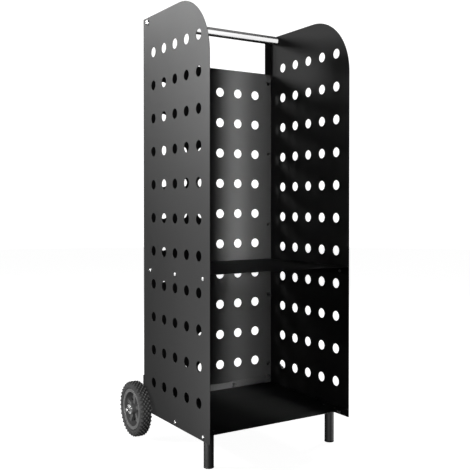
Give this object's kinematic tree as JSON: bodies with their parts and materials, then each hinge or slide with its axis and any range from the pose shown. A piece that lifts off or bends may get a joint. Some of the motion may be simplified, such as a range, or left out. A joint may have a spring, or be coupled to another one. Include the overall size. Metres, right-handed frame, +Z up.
{
  "type": "firewood log rack",
  "caption": "Tall two-tier firewood trolley of perforated black sheet steel with a tube handle, two tube legs in front and two rubber-tyred wheels behind.",
  "frame": {"origin": "on the floor, midway across the width and midway between the front edges and the backs of the tyres", "axes": "+X the rack's right seen from its open front, +Y towards the wheels at the back, +Z up"},
  "size_m": [0.5, 0.43, 1.0975],
  "materials": {
    "powder_coat": "fine matt black powder coat",
    "handle_chrome": "bright polished",
    "zinc": "bright zinc plate",
    "black_steel": "black oxide, satin",
    "black_plastic": "moulded, matt",
    "tyre": "solid rubber, blocky tread",
    "hub_plastic": "moulded dark grey, satin",
    "bronze": "oiled sintered bronze"
  },
  "bodies": {
    "rack": {"side_panel_left": "powder_coat", "side_panel_right": "powder_coat", "back_panel": "powder_coat", "back_screw_left_1": "black_steel", "back_screw_left_2": "black_steel", "back_screw_left_3": "black_steel", "back_screw_left_4": "black_steel", "back_screw_left_5": "black_steel", "back_screw_right_1": "black_steel", "back_screw_right_2": "black_steel", "back_screw_right_3": "black_steel", "back_screw_right_4": "black_steel", "back_screw_right_5": "black_steel", "middle_shelf": "powder_coat", "middle_shelf_screw_left_front": "zinc", "middle_shelf_screw_left_middle": "zinc", "middle_shelf_screw_left_rear": "zinc", "middle_shelf_screw_right_front": "zinc", "middle_shelf_screw_right_middle": "zinc", "middle_shelf_screw_right_rear": "zinc", "bottom_shelf_screw_left_front": "zinc", "bottom_shelf_screw_left_middle": "zinc", "bottom_shelf_screw_left_rear": "zinc", "bottom_shelf_screw_right_front": "zinc", "bottom_shelf_screw_right_middle": "zinc", "bottom_shelf_screw_right_rear": "zinc", "bottom_shelf": "powder_coat", "bottom_shelf_rear_screw_left": "zinc", "bottom_shelf_rear_screw_right": "zinc", "handle_tube": "handle_chrome", "handle_insert_left": "zinc", "handle_insert_right": "zinc", "handle_bolt_left": "handle_chrome", "handle_bolt_right": "handle_chrome", "leg_left": "powder_coat", "leg_right": "powder_coat", "leg_cap_left": "black_plastic", "leg_cap_right": "black_plastic", "leg_screw_left_1": "zinc", "leg_screw_left_2": "zinc", "leg_screw_right_1": "zinc", "leg_screw_right_2": "zinc", "axle": "zinc", "axle_bracket_left": "powder_coat", "axle_bracket_right": "powder_coat", "bracket_bolt_left": "zinc", "bracket_bolt_right": "zinc", "wheel_spacer_left": "zinc", "wheel_spacer_right": "zinc", "wheel_washer_left": "zinc", "wheel_washer_right": "zinc", "split_pin_left": "zinc", "split_pin_right": "zinc"},
    "wheel_left": {"tyre_left": "tyre", "wheel_hub_left": "hub_plastic", "wheel_bush_left": "bronze"},
    "wheel_right": {"tyre_right": "tyre", "wheel_hub_right": "hub_plastic", "wheel_bush_right": "bronze"}
  },
  "joints": [
    {"name": "wheel_left_spin", "type": "hinge", "parent": "rack", "child": "wheel_left", "pos_m": [-0.2235, 0.143, 0.072], "axis": [1, 0, 0], "continuous": true},
    {"name": "wheel_right_spin", "type": "hinge", "parent": "rack", "child": "wheel_right", "pos_m": [0.2235, 0.143, 0.072], "axis": [1, 0, 0], "continuous": true}
  ]
}
